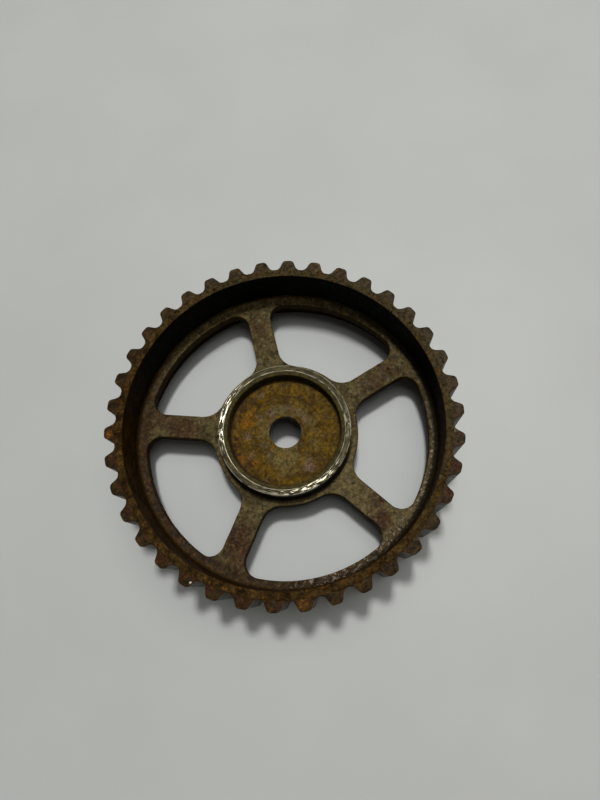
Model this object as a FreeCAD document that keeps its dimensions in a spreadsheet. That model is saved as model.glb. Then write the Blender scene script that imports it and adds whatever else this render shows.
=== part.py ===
"""Timing belt pulley: toothed ring, rim band, five-spoke web, cupped hub, hub collar and locating dowel.

Millimetres. The origin is on the pulley's axis in the plane of the rim's rear face, +Z runs along the
axis towards the front (the side the centre bolt enters), and +X runs along the middle of one spoke,
which is also the middle of one tooth.
"""

import FreeCAD, Part
import math
import os
import Sketcher
from FreeCAD import Vector

SHEET = "Sizes"
FULL_TURN = 360
SAME_LENGTH = 1e-4
LEAST_CUT_VOLUME = 1e-3

# Sketcher's own numbers: its two axes, the points of a line or an arc, and the sketch's origin.
X_AXIS, Y_AXIS = -1, -2
START, END, MIDDLE = 1, 2, 3
ORIGIN = (X_AXIS, START)
UP = Vector(0, 0, 1)

# Driving dimensions: alias -> millimetres, degrees or a count.
SIZES = {
    # belt drive
    "tooth_count": 38,
    "belt_pitch": 9.525,
    "pitch_line_offset": 0.686,
    "root_radius": 53.48,
    "groove_floor_radius": 2.2,
    "groove_flank_angle": 28,
    "tooth_tip_rounding": 1.3,
    "tooth_width": 28.0,
    # rim band
    "rim_inner_radius": 50.9,
    "rim_seat_radius": 52.6,
    "rim_proud": 0.3,
    "front_lip_radius": 53.35,
    "rim_edge_break": 0.35,
    # web
    "spoke_count": 5,
    "spoke_half_width": 4.05,
    "web_rear_height": 8.8,
    "web_thickness": 3.9,
    "window_inner_radius": 24.5,
    "window_outer_radius": 48.0,
    "window_inner_corner": 7.0,
    "window_outer_corner": 4.8,
    "window_edge_round": 0.5,
    "flange_wall": 0.25,
    "flange_rise": 1.6,
    "flange_fillet": 1.3,
    # hub
    "neck_radius": 20.05,
    "hub_flange_radius": 23.0,
    "hub_rear_height": 3.0,
    "hub_front_height": 19.06,
    "recess_mouth_radius": 18.9,
    "recess_mouth_height": 18.57,
    "recess_floor_radius": 18.6,
    "recess_floor_height": 14.2,
    "bolt_hole_radius": 5.4,
    "bolt_hole_chamfer": 0.35,
    "hub_floor_thickness": 3.0,
    "register_radius": 14.0,
    "register_chamfer": 0.5,
    # collar
    "collar_outer_radius": 22.09,
    "collar_front_height": 19.2,
    "collar_edge_break": 0.3,
    # dowel
    "dowel_shank_radius": 3.0,
    "dowel_nose_radius": 2.5,
    "dowel_circle_radius": 18.3,
    "dowel_shank_length": 5.2,
    "dowel_hole_depth": 5.5,
    "dowel_stand_out": 2.5,
    "dowel_chamfer": 0.4,
}

# Sizes that follow from the driving ones, as spreadsheet formulas.
DERIVED = {
    "outer_radius": "=tooth_count * belt_pitch / (2 * pi) - pitch_line_offset",
    "rim_width": "=tooth_width + 2 * rim_proud",
    "tooth_front_height": "=tooth_width + rim_proud",
    "web_front_height": "=web_rear_height + web_thickness",
    "flange_inner_radius": "=rim_inner_radius - flange_wall",
    "hub_floor_underside": "=recess_floor_height - hub_floor_thickness",
    "dowel_tip_height": "=hub_rear_height - dowel_stand_out",
    "dowel_length": "=dowel_shank_length + dowel_stand_out",
    "dowel_hole_top": "=hub_rear_height + dowel_hole_depth",
}


def make_sheet(doc):
    """Put every size in the spreadsheet, one row each: name, value."""
    sheet = doc.addObject("Spreadsheet::Sheet", SHEET)
    for row, (alias, value) in enumerate({**SIZES, **DERIVED}.items(), start=1):
        sheet.set(f"A{row}", alias)
        sheet.set(f"B{row}", str(value))
        sheet.setAlias(f"B{row}", alias)
    doc.recompute()
    return sheet


def cell(alias):
    """The expression that reads one cell."""
    return f"{SHEET}.{alias}"


def new_body(doc, label):
    body = doc.addObject("PartDesign::Body", label)
    body.Label = label
    return body


def origin_feature(body, role):
    """One of the body's own origin planes or axes."""
    return next(feature for feature in body.Origin.OriginFeatures if feature.Role == role)


def new_sketch(body, name, role):
    """A sketch on one of the body's own origin planes."""
    sketch = body.newObject("Sketcher::SketchObject", name)
    sketch.AttachmentSupport = (origin_feature(body, role), "")
    sketch.MapMode = "FlatFace"
    return sketch


def constrain(sketch, kind, *refs):
    sketch.addConstraint(Sketcher.Constraint(kind, *refs))


def bind(sketch, kind, *refs, value, expression):
    """Add one dimension and tie it to the spreadsheet."""
    index = sketch.addConstraint(Sketcher.Constraint(kind, *refs, value))
    sketch.setExpression(f"Constraints[{index}]", expression)


def draw_profile(sketch, sheet, corners):
    """A closed outline whose corners are (radius, height) pairs of spreadsheet formulas."""
    numbers = [[evaluate(sheet, formula) for formula in corner] for corner in corners]
    points = [Vector(x, y, 0) for x, y in numbers]
    for point, following in zip(points, points[1:] + points[:1]):
        sketch.addGeometry(Part.LineSegment(point, following), False)
    for line, corner in enumerate(corners):
        constrain(sketch, "Coincident", line, END, (line + 1) % len(corners), START)
        hold_corner(sketch, line, corner, numbers[line])


def hold_corner(sketch, line, formulas, numbers):
    """Fix a line's start point by its two formulas. The formula "0" puts it on an axis."""
    for kind, axis, formula, number in zip(("DistanceX", "DistanceY"), (Y_AXIS, X_AXIS), formulas, numbers):
        if formula == "0":
            constrain(sketch, "PointOnObject", line, START, axis)
        else:
            bind(sketch, kind, *ORIGIN, line, START, value=number, expression=expand(formula))


def expand(formula):
    """Turn a formula of plain aliases into one that names the sheet."""
    return " ".join(cell(word) if word[0].isalpha() else word for word in formula.split())


def evaluate(sheet, formula):
    """The number a formula of aliases, + and - stands for."""
    total, sign = 0.0, 1
    for word in formula.split():
        if word in "+-":
            sign = 1 if word == "+" else -1
        else:
            total += sign * (float(getattr(sheet, word)) if word[0].isalpha() else float(word))
    return total


def revolve(body, sketch, name):
    """A full turn about the sketch's upright axis."""
    turn = body.newObject("PartDesign::Revolution", name)
    turn.Profile = sketch
    turn.ReferenceAxis = (sketch, ["V_Axis"])
    turn.Angle = FULL_TURN
    sketch.Visibility = False


def pocket_through(body, sketch, name):
    """Cut the sketch right through the body, both ways from its plane."""
    pocket = body.newObject("PartDesign::Pocket", name)
    pocket.Profile = sketch
    pocket.Type = "ThroughAll"
    pocket.Midplane = True
    return pocket


def polar_pattern(doc, body, feature, name, count_alias):
    """Repeat a cut evenly about the pulley's axis."""
    pattern = body.newObject("PartDesign::PolarPattern", name)
    pattern.Originals = [feature]
    pattern.Axis = (origin_feature(body, "Z_Axis"), [""])
    pattern.Angle = FULL_TURN
    pattern.setExpression("Occurrences", cell(count_alias))
    body.Tip = pattern
    doc.recompute()


def must_shrink(doc, body, before, what):
    """A cut that points the wrong way removes nothing and raises nothing, so compare volumes."""
    doc.recompute()
    if body.Shape.Volume > before - LEAST_CUT_VOLUME:
        raise RuntimeError(f"{what} removed nothing")


def dress_edges(doc, body, name, kind, size_name, alias, keep):
    """Fillet or chamfer every edge of the body's tip for which keep(edge) is true."""
    tip = body.Tip
    picked = [f"Edge{i}" for i, edge in enumerate(tip.Shape.Edges, start=1) if keep(edge)]
    if not picked:
        raise RuntimeError(f"{name} found no edge")
    dress = body.newObject(f"PartDesign::{kind}", name)
    dress.Base = (tip, picked)
    dress.setExpression(size_name, cell(alias))
    body.Tip = dress
    doc.recompute()


def is_circle_at(radius, height):
    """Edge test: a circle about the axis with this radius at this height."""

    def keep(edge):
        curve = edge.Curve
        return (
            isinstance(curve, Part.Circle)
            and abs(curve.Radius - radius) < SAME_LENGTH
            and abs(curve.Center.z - height) < SAME_LENGTH
            and math.hypot(curve.Center.x, curve.Center.y) < SAME_LENGTH
        )

    return keep


def arc_between(centre, radius, start, end):
    """An anticlockwise arc about a centre, from beside one point to beside another."""
    first = math.atan2(start.y - centre.y, start.x - centre.x)
    last = math.atan2(end.y - centre.y, end.x - centre.x)
    return Part.ArcOfCircle(Part.Circle(centre, UP, radius), first, last)


# --------------------------------------------------------------------------- toothed ring


def groove_points(sheet):
    """Start values for one groove, symmetric about +Y: floor arc, straight flank, rounded tooth tip."""
    root, floor = float(sheet.root_radius), float(sheet.groove_floor_radius)
    outer, tip = float(sheet.outer_radius), float(sheet.tooth_tip_rounding)
    lean = math.radians(float(sheet.groove_flank_angle))
    away = Vector(math.cos(lean), -math.sin(lean), 0)
    along = Vector(math.sin(lean), math.cos(lean), 0)
    floor_centre = Vector(0, root + floor, 0)
    flank_start = floor_centre + away * floor
    tip_track = flank_start + away * tip
    reach = tip_track.dot(along)
    travel = -reach + math.sqrt(reach**2 - tip_track.dot(tip_track) + (outer - tip) ** 2)
    tip_centre = tip_track + along * travel
    return floor_centre, flank_start, flank_start + along * travel, tip_centre


def mirrored(point):
    """The point on the other side of the groove's middle line."""
    return Vector(-point.x, point.y, 0)


def draw_groove(sketch, sheet):
    """One tooth groove open at the top, its outline closed above the tooth tips."""
    floor_centre, flank_start, flank_end, tip_centre = groove_points(sheet)
    floor, tip = float(sheet.groove_floor_radius), float(sheet.tooth_tip_rounding)
    outer = float(sheet.outer_radius)
    tip_end = tip_centre + Vector(tip_centre).normalize() * tip
    above = Vector(tip_end.x, outer + tip, 0)
    lines = {
        "floor_arc": arc_between(floor_centre, floor, mirrored(flank_start), flank_start),
        "right_flank": Part.LineSegment(flank_start, flank_end),
        "right_tip": arc_between(tip_centre, tip, tip_end, flank_end),
        "right_wall": Part.LineSegment(tip_end, above),
        "roof": Part.LineSegment(above, mirrored(above)),
        "left_wall": Part.LineSegment(mirrored(above), mirrored(tip_end)),
        "left_tip": arc_between(mirrored(tip_centre), tip, mirrored(flank_end), mirrored(tip_end)),
        "left_flank": Part.LineSegment(mirrored(flank_end), mirrored(flank_start)),
    }
    ids = {name: sketch.addGeometry(line) for name, line in lines.items()}
    ids["crown"] = sketch.addGeometry(Part.Circle(Vector(0, 0, 0), UP, outer), True)
    shape_groove(sketch, ids)
    size_groove(sketch, sheet, ids, floor_centre.y, above.y)


def shape_groove(sketch, ids):
    """Join the groove's lines, make it symmetric and hold its tips against the crown circle."""
    floor_arc, crown = ids["floor_arc"], ids["crown"]
    right_flank, right_tip, right_wall = ids["right_flank"], ids["right_tip"], ids["right_wall"]
    left_flank, left_tip, left_wall = ids["left_flank"], ids["left_tip"], ids["left_wall"]
    constrain(sketch, "Tangent", floor_arc, END, right_flank, START)
    constrain(sketch, "Tangent", right_flank, END, right_tip, END)
    constrain(sketch, "Tangent", floor_arc, START, left_flank, END)
    constrain(sketch, "Tangent", left_flank, START, left_tip, START)
    constrain(sketch, "Coincident", right_tip, START, right_wall, START)
    constrain(sketch, "Coincident", right_wall, END, ids["roof"], START)
    constrain(sketch, "Coincident", ids["roof"], END, left_wall, START)
    constrain(sketch, "Coincident", left_wall, END, left_tip, END)
    constrain(sketch, "Coincident", crown, MIDDLE, *ORIGIN)
    constrain(sketch, "Tangent", right_tip, START, crown)
    constrain(sketch, "PointOnObject", floor_arc, MIDDLE, Y_AXIS)
    constrain(sketch, "Symmetric", right_flank, END, left_flank, START, Y_AXIS)
    constrain(sketch, "Symmetric", right_tip, START, left_tip, END, Y_AXIS)
    constrain(sketch, "Vertical", right_wall)
    constrain(sketch, "Vertical", left_wall)
    constrain(sketch, "Horizontal", ids["roof"])


def size_groove(sketch, sheet, ids, floor_height, roof_height):
    """Tie the groove's six dimensions to the spreadsheet."""
    for name, alias in (("floor_arc", "groove_floor_radius"), ("right_tip", "tooth_tip_rounding"),
                        ("crown", "outer_radius")):
        bind(sketch, "Radius", ids[name], value=float(getattr(sheet, alias)), expression=cell(alias))
    bind(sketch, "DistanceY", *ORIGIN, ids["floor_arc"], MIDDLE, value=floor_height,
         expression=expand("root_radius + groove_floor_radius"))
    bind(sketch, "DistanceY", *ORIGIN, ids["roof"], START, value=roof_height,
         expression=expand("outer_radius + tooth_tip_rounding"))
    bind(sketch, "Angle", ids["right_flank"], START, Y_AXIS, START,
         value=math.radians(float(sheet.groove_flank_angle)), expression=cell("groove_flank_angle"))


def make_tooth_ring(doc, sheet):
    """The ring that carries the belt teeth: a plain ring with its grooves cut all round."""
    body = new_body(doc, "tooth_ring")
    ring = new_sketch(body, "tooth_ring_section", "XZ_Plane")
    draw_profile(ring, sheet, [
        ("rim_seat_radius", "0"),
        ("outer_radius", "0"),
        ("outer_radius", "tooth_width"),
        ("rim_seat_radius", "tooth_width"),
    ])
    revolve(body, ring, "tooth_ring_blank")
    doc.recompute()
    blank_volume = body.Shape.Volume
    groove = new_sketch(body, "groove_outline", "XY_Plane")
    draw_groove(groove, sheet)
    cut = pocket_through(body, groove, "groove")
    must_shrink(doc, body, blank_volume, "groove")
    one_groove = blank_volume - body.Shape.Volume
    polar_pattern(doc, body, cut, "grooves", "tooth_count")
    must_shrink(doc, body, blank_volume - one_groove, "groove pattern")
    body.setExpression("Placement.Base.z", cell("rim_proud"))
    return body


# --------------------------------------------------------------------------- rim band


def make_rim_band(doc, sheet):
    """The smooth band inside the teeth, proud of them at both ends, with a front lip over their edge."""
    body = new_body(doc, "rim_band")
    section = new_sketch(body, "rim_band_section", "XZ_Plane")
    draw_profile(section, sheet, [
        ("rim_inner_radius + rim_edge_break", "0"),
        ("rim_seat_radius", "0"),
        ("rim_seat_radius", "tooth_front_height"),
        ("front_lip_radius", "tooth_front_height"),
        ("front_lip_radius", "rim_width"),
        ("rim_inner_radius + rim_edge_break", "rim_width"),
        ("rim_inner_radius", "rim_width - rim_edge_break"),
        ("rim_inner_radius", "rim_edge_break"),
    ])
    revolve(body, section, "rim_band_turned")
    doc.recompute()
    return body


# --------------------------------------------------------------------------- spoke web


def window_frame(sheet):
    """Start values for half of the window beside the +X spoke: centres, touching points and flank."""
    inner, outer = float(sheet.window_inner_radius), float(sheet.window_outer_radius)
    small, large = float(sheet.window_inner_corner), float(sheet.window_outer_corner)
    half = float(sheet.spoke_half_width)
    inner_centre = Vector(math.sqrt((inner + small) ** 2 - (half + small) ** 2), half + small, 0)
    outer_centre = Vector(math.sqrt((outer - large) ** 2 - (half + large) ** 2), half + large, 0)
    inner_touch = Vector(inner_centre).normalize() * inner
    outer_touch = Vector(outer_centre).normalize() * outer
    flank = [Vector(inner_centre.x, half, 0), Vector(outer_centre.x, half, 0)]
    return inner_centre, outer_centre, inner_touch, outer_touch, flank


def draw_window(sketch, sheet):
    """One window: two arcs about the axis, two flanks parallel to the spokes, four rounded corners."""
    inner_centre, outer_centre, inner_touch, outer_touch, (flank_in, flank_out) = window_frame(sheet)
    small, large = float(sheet.window_inner_corner), float(sheet.window_outer_corner)
    step = math.radians(FULL_TURN) / float(sheet.spoke_count)
    centre = Vector(0, 0, 0)

    def across(point):
        """Mirror a point about the line halfway between the two spokes."""
        turn = step - math.atan2(point.y, point.x)
        return Vector(point.Length * math.cos(turn), point.Length * math.sin(turn), 0)

    lines = {
        "first_flank": Part.LineSegment(flank_in, flank_out),
        "first_outer": arc_between(outer_centre, large, flank_out, outer_touch),
        "outer_arc": arc_between(centre, outer_touch.Length, outer_touch, across(outer_touch)),
        "second_outer": arc_between(across(outer_centre), large, across(outer_touch), across(flank_out)),
        "second_flank": Part.LineSegment(across(flank_out), across(flank_in)),
        "second_inner": arc_between(across(inner_centre), small, across(flank_in), across(inner_touch)),
        "inner_arc": arc_between(centre, inner_touch.Length, inner_touch, across(inner_touch)),
        "first_inner": arc_between(inner_centre, small, inner_touch, flank_in),
    }
    ids = {name: sketch.addGeometry(line) for name, line in lines.items()}
    shape_window(sketch, ids)
    size_window(sketch, sheet, ids, step)


def shape_window(sketch, ids):
    """Run the window's eight lines smoothly into each other, round the pulley's axis."""
    joints = (
        ("first_flank", END, "first_outer", START),
        ("first_outer", END, "outer_arc", START),
        ("outer_arc", END, "second_outer", START),
        ("second_outer", END, "second_flank", START),
        ("second_flank", END, "second_inner", START),
        ("second_inner", END, "inner_arc", END),
        ("inner_arc", START, "first_inner", START),
        ("first_inner", END, "first_flank", START),
    )
    for line, point, following, following_point in joints:
        constrain(sketch, "Tangent", ids[line], point, ids[following], following_point)
    constrain(sketch, "Coincident", ids["outer_arc"], MIDDLE, *ORIGIN)
    constrain(sketch, "Coincident", ids["inner_arc"], MIDDLE, *ORIGIN)
    constrain(sketch, "Horizontal", ids["first_flank"])
    constrain(sketch, "Equal", ids["first_outer"], ids["second_outer"])
    constrain(sketch, "Equal", ids["first_inner"], ids["second_inner"])


def size_window(sketch, sheet, ids, step):
    """Tie the window's seven dimensions to the spreadsheet."""
    for name, alias in (("outer_arc", "window_outer_radius"), ("inner_arc", "window_inner_radius"),
                        ("first_outer", "window_outer_corner"), ("first_inner", "window_inner_corner")):
        bind(sketch, "Radius", ids[name], value=float(getattr(sheet, alias)), expression=cell(alias))
    half_width = {"value": float(sheet.spoke_half_width), "expression": cell("spoke_half_width")}
    bind(sketch, "DistanceY", *ORIGIN, ids["first_flank"], START, **half_width)
    bind(sketch, "Distance", *ORIGIN, ids["second_flank"], **half_width)
    bind(sketch, "Angle", ids["first_flank"], START, ids["second_flank"], END, value=step,
         expression=f"{FULL_TURN} / {cell('spoke_count')}")


def make_spoke_web(doc, sheet):
    """The five-spoke web: a disc with an outer flange that fillets into the rim, and rounded windows."""
    body = new_body(doc, "spoke_web")
    section = new_sketch(body, "web_section", "XZ_Plane")
    draw_profile(section, sheet, [
        ("neck_radius", "web_rear_height"),
        ("flange_inner_radius", "web_rear_height"),
        ("flange_inner_radius", "web_rear_height - flange_rise"),
        ("rim_inner_radius", "web_rear_height - flange_rise"),
        ("rim_inner_radius", "web_front_height + flange_rise"),
        ("flange_inner_radius", "web_front_height + flange_rise"),
        ("flange_inner_radius", "web_front_height"),
        ("neck_radius", "web_front_height"),
    ])
    revolve(body, section, "web_disc")
    doc.recompute()
    flange_foot = float(sheet.flange_inner_radius)
    faces = [float(sheet.web_rear_height), float(sheet.web_front_height)]
    foot_tests = [is_circle_at(flange_foot, height) for height in faces]
    dress_edges(doc, body, "flange_fillets", "Fillet", "Radius", "flange_fillet",
                lambda edge: any(test(edge) for test in foot_tests))
    disc_volume = body.Shape.Volume
    window = new_sketch(body, "window_outline", "XY_Plane")
    draw_window(window, sheet)
    cut = pocket_through(body, window, "window")
    must_shrink(doc, body, disc_volume, "window")
    one_window = disc_volume - body.Shape.Volume
    polar_pattern(doc, body, cut, "windows", "spoke_count")
    must_shrink(doc, body, disc_volume - one_window, "window pattern")
    dress_edges(doc, body, "window_rounds", "Fillet", "Radius", "window_edge_round",
                is_window_rim(sheet, faces))
    return body


def is_window_rim(sheet, faces):
    """Edge test: part of a window's outline on the web's front or rear face."""
    inside, outside = float(sheet.window_inner_radius), float(sheet.window_outer_radius)

    def keep(edge):
        box = edge.BoundBox
        on_face = any(abs(box.ZMin - z) < SAME_LENGTH and abs(box.ZMax - z) < SAME_LENGTH for z in faces)
        middle = edge.valueAt((edge.FirstParameter + edge.LastParameter) / 2)
        reach = math.hypot(middle.x, middle.y)
        return on_face and inside - SAME_LENGTH < reach < outside + SAME_LENGTH

    return keep


# --------------------------------------------------------------------------- hub, collar, dowel


def make_hub(doc, sheet):
    """The turned hub: a cup open to the front, a floor with the bolt hole, and a rear shaft register."""
    body = new_body(doc, "hub")
    section = new_sketch(body, "hub_section", "XZ_Plane")
    draw_profile(section, sheet, [
        ("register_radius + register_chamfer", "hub_rear_height"),
        ("hub_flange_radius", "hub_rear_height"),
        ("hub_flange_radius", "web_rear_height"),
        ("neck_radius", "web_rear_height"),
        ("neck_radius", "hub_front_height"),
        ("recess_mouth_radius", "recess_mouth_height"),
        ("recess_floor_radius", "recess_floor_height"),
        ("bolt_hole_radius + bolt_hole_chamfer", "recess_floor_height"),
        ("bolt_hole_radius", "recess_floor_height - bolt_hole_chamfer"),
        ("bolt_hole_radius", "hub_floor_underside"),
        ("register_radius", "hub_floor_underside"),
        ("register_radius", "hub_rear_height + register_chamfer"),
    ])
    revolve(body, section, "hub_turned")
    doc.recompute()
    turned_volume = body.Shape.Volume
    circle = new_sketch(body, "dowel_hole_circle", "XY_Plane")
    draw_dowel_circle(circle, sheet, "dowel_shank_radius")
    hole = body.newObject("PartDesign::Pocket", "dowel_hole")
    hole.Profile = circle
    hole.Reversed = True
    hole.setExpression("Length", cell("dowel_hole_top"))
    must_shrink(doc, body, turned_volume, "dowel hole")
    return body


def draw_dowel_circle(sketch, sheet, radius_alias):
    """One of the dowel's circles, on the +X line at the dowel circle's radius."""
    place, radius = float(sheet.dowel_circle_radius), float(getattr(sheet, radius_alias))
    circle = sketch.addGeometry(Part.Circle(Vector(place, 0, 0), UP, radius))
    constrain(sketch, "PointOnObject", circle, MIDDLE, X_AXIS)
    bind(sketch, "DistanceX", *ORIGIN, circle, MIDDLE, value=place, expression=cell("dowel_circle_radius"))
    bind(sketch, "Radius", circle, value=radius, expression=cell(radius_alias))


def make_hub_collar(doc, sheet):
    """The bright collar pressed over the hub's neck, standing on the web."""
    body = new_body(doc, "hub_collar")
    section = new_sketch(body, "collar_section", "XZ_Plane")
    draw_profile(section, sheet, [
        ("neck_radius", "web_front_height"),
        ("collar_outer_radius", "web_front_height"),
        ("collar_outer_radius", "collar_front_height - collar_edge_break"),
        ("collar_outer_radius - collar_edge_break", "collar_front_height"),
        ("neck_radius + collar_edge_break", "collar_front_height"),
        ("neck_radius", "hub_front_height"),
    ])
    revolve(body, section, "collar_turned")
    doc.recompute()
    return body


def add_dowel_pad(body, sheet, name, radius_alias, length_alias):
    """A round pad of the dowel, standing on the body's XY plane."""
    circle = new_sketch(body, f"{name}_circle", "XY_Plane")
    draw_dowel_circle(circle, sheet, radius_alias)
    pad = body.newObject("PartDesign::Pad", name)
    pad.Profile = circle
    pad.setExpression("Length", cell(length_alias))
    return pad


def make_locating_dowel(doc, sheet):
    """The stepped dowel that sets the pulley's angle on the shaft: its shank is pressed in the hub's rear
    face and its thinner nose stands out of it."""
    body = new_body(doc, "locating_dowel")
    add_dowel_pad(body, sheet, "dowel_nose", "dowel_nose_radius", "dowel_length")
    doc.recompute()
    shank = add_dowel_pad(body, sheet, "dowel_shank", "dowel_shank_radius", "dowel_shank_length")
    circle = shank.Profile[0]
    circle.setExpression("AttachmentOffset.Base.z", cell("dowel_stand_out"))
    doc.recompute()
    dress_edges(doc, body, "dowel_ends", "Chamfer", "Size", "dowel_chamfer", is_dowel_end(sheet))
    body.setExpression("Placement.Base.z", cell("dowel_tip_height"))
    return body


def is_dowel_end(sheet):
    """Edge test: the circle round either end of the dowel."""
    ends = [0.0, float(sheet.dowel_length)]

    def keep(edge):
        curve = edge.Curve
        return isinstance(curve, Part.Circle) and any(abs(curve.Center.z - z) < SAME_LENGTH for z in ends)

    return keep


# --------------------------------------------------------------------------- build and write


def check(doc, bodies):
    """Stop on any failed object, loose sketch or bad shape."""
    for item in doc.Objects:
        if {"Invalid", "Error"} & set(item.State):
            raise RuntimeError(f"{item.Name} is {item.State}")
        if item.TypeId == "Sketcher::SketchObject" and not item.FullyConstrained:
            raise RuntimeError(f"sketch {item.Name} is not fully constrained")
    for body in bodies:
        if body.Shape.isNull() or not body.Shape.isValid():
            raise RuntimeError(f"{body.Label} has no valid shape")
        if len(body.Shape.Solids) != 1:
            raise RuntimeError(f"{body.Label} is {len(body.Shape.Solids)} solids, not one")


def main():
    doc = FreeCAD.newDocument("timing_belt_pulley")
    sheet = make_sheet(doc)
    bodies = [make(doc, sheet) for make in (make_tooth_ring, make_rim_band, make_spoke_web, make_hub,
                                            make_hub_collar, make_locating_dowel)]
    doc.recompute()
    check(doc, bodies)
    os.makedirs("parts", exist_ok=True)
    for body in bodies:
        body.Shape.exportStep(f"parts/{body.Label}.step")
        print(f"{body.Label}: {body.Shape.Volume:.1f} mm3")


main()
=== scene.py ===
"""Looks for the timing belt pulley: rusty sintered steel, a turned hub and a bright worn collar.

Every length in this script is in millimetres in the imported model's own frame: the origin is on the axis at
the rear face, +Z points to the front and +X runs through the middle of one spoke. Angles are in degrees,
counted from +X towards +Y.
"""

import math

import bmesh
import bpy
import numpy as np
from mathutils import Matrix, Vector
from mathutils.geometry import delaunay_2d_cdt


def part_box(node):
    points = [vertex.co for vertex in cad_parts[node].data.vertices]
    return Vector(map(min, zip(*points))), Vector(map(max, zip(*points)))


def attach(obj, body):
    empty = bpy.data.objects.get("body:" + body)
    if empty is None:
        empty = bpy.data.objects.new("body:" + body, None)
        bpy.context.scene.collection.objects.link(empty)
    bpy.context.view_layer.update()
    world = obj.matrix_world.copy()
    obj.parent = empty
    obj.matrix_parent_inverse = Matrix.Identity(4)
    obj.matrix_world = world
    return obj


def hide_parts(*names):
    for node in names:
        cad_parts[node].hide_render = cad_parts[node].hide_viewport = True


MM = 0.001
BODY = "root"
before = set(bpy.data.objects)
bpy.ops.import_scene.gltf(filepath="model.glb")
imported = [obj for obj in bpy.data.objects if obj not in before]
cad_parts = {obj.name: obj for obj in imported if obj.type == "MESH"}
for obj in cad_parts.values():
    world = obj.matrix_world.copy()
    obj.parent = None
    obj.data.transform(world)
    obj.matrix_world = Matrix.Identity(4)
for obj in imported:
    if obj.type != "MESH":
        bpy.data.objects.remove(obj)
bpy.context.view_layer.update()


def node_box(node):
    """Lowest and highest corner of a CAD node in millimetres."""
    low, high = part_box(node)
    return low / MM, high / MM


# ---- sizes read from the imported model

TEETH_LOW, TEETH_HIGH = node_box("tooth_ring")
BAND_LOW, BAND_HIGH = node_box("rim_band")
WEB_HIGH = node_box("spoke_web")[1]
HUB_LOW, HUB_HIGH = node_box("hub")
COLLAR_LOW, COLLAR_HIGH = node_box("hub_collar")
DOWEL_LOW, DOWEL_HIGH = node_box("locating_dowel")
DOWEL_CENTRE = tuple((DOWEL_LOW + DOWEL_HIGH).xy / 2)
DOWEL_RADIUS = (DOWEL_HIGH.x - DOWEL_LOW.x) / 2

TIP_RADIUS = TEETH_HIGH.x
LIP_RADIUS = BAND_HIGH.x
RIM_RADIUS = WEB_HIGH.x
COLLAR_RADIUS = COLLAR_HIGH.x
WEB_FRONT = COLLAR_LOW.z
FLANGE_RISE = WEB_HIGH.z - WEB_FRONT

# ---- sizes inside those boxes

TOOTH_COUNT = 38
ROOT_RADIUS = 53.48
GROOVE_FLOOR_ROUND = 2.2
GROOVE_FLANK_LEAN = math.radians(28)
TOOTH_TIP_ROUND = 1.3
SEAT_RADIUS = 52.6

SPOKE_COUNT = 5
SPOKE_HALF_WIDTH = 4.05
WEB_REAR = 8.8
WINDOW_INNER, WINDOW_OUTER = 24.5, 48.0
WINDOW_INNER_CORNER, WINDOW_OUTER_CORNER = 7.0, 4.8
WINDOW_EDGE_ROUND = 0.5

NECK_RADIUS = 20.05
COLLAR_MIDDLE, COLLAR_HALF_WIDTH = (NECK_RADIUS + COLLAR_RADIUS) / 2, (COLLAR_RADIUS - NECK_RADIUS) / 2
RECESS_MOUTH_RADIUS, RECESS_MOUTH_HEIGHT = 18.9, 18.57
RECESS_FLOOR_RADIUS, RECESS_FLOOR_HEIGHT = 18.6, 14.2
BOLT_HOLE_RADIUS = 5.4
HUB_FLOOR_THICKNESS = 3.0
REGISTER_RADIUS = 14.0
DOWEL_NOSE_RADIUS = 2.5
DOWEL_CHAMFER, DOWEL_HOLE_GAP = 0.4, 0.05
TURNED_NOISE_RADIUS = 21.0
WASHER_MARK_RADIUS = 12.6

# How deep the wear goes.
TOOTH_EDGE_WEAR, WASHER_SEAT_DEPTH = 0.16, 0.05
COLLAR_DENTS, COLLAR_GRAIN = 0.16, 0.03

# ---- how finely the meshes are cut

LARGEST_ARC_STEP = math.radians(18)
TOOTH_OUTLINE_STEP, TOOTH_EDGE_ROUND = 0.30, 0.32
TOOTH_FACE_ROWS, TOOTH_EDGE_ROWS, TOOTH_FLANK_ROWS = 7, 4, 52
BAND_COLUMNS, HUB_COLUMNS, COLLAR_COLUMNS, DOWEL_COLUMNS, CUTTER_COLUMNS = 690, 360, 540, 96, 64
FLANGE_COLUMNS, NECK_COLUMNS, WEB_WALL_ROWS = 760, 320, 7
WEB_OUTLINE_STEP, WEB_FILL_SPACING, WALL_SEARCH_STEP = 0.42, 0.5, 0.25

# The web's face has rings of points this far from its walls, and a fill between them.
WINDOW_RING_GAPS = (0.04, 0.11, 0.21, 0.34, 0.5, 0.8)
FLANGE_RING_GAPS = (0.01, 0.05, 0.12, 0.22, 0.36, 0.55, 0.8, 1.1, 1.4)
FILL_TO_WINDOW, FILL_TO_FLANGE, FILL_TO_NECK = 1.1, 1.7, 0.3

# ---- repeatable noise for mesh detail


def corner_values(corners, seed):
    """A fixed pseudo-random number from 0 to 1 for each whole-number grid corner."""
    mix = corners @ np.array([374761393, 668265263, 1103515245]) + seed * 974634777
    mix = (mix ^ (mix >> 13)) * 1274126177
    mix = mix ^ (mix >> 16)
    return (mix & 0xFFFF) / 65535.0


def noise(points, size, seed):
    """Smooth noise from 0 to 1 with features about `size` millimetres across."""
    scaled = points / size + 512.0
    base = np.floor(scaled).astype(np.int64)
    part = scaled - base
    part = part * part * (3 - 2 * part)
    total = np.zeros(len(points))
    for corner in np.ndindex(2, 2, 2):
        weight = np.prod(np.where(corner, part, 1 - part), axis=1)
        total += weight * corner_values(base + corner, seed)
    return total


def rough_noise(points, size, octaves, seed):
    """Several sizes of noise added up, from 0 to 1."""
    total, weight, share = 0.0, 0.0, 1.0
    for octave in range(octaves):
        total = total + share * noise(points, size / 2**octave, seed + octave)
        weight += share
        share *= 0.55
    return total / weight


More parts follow.
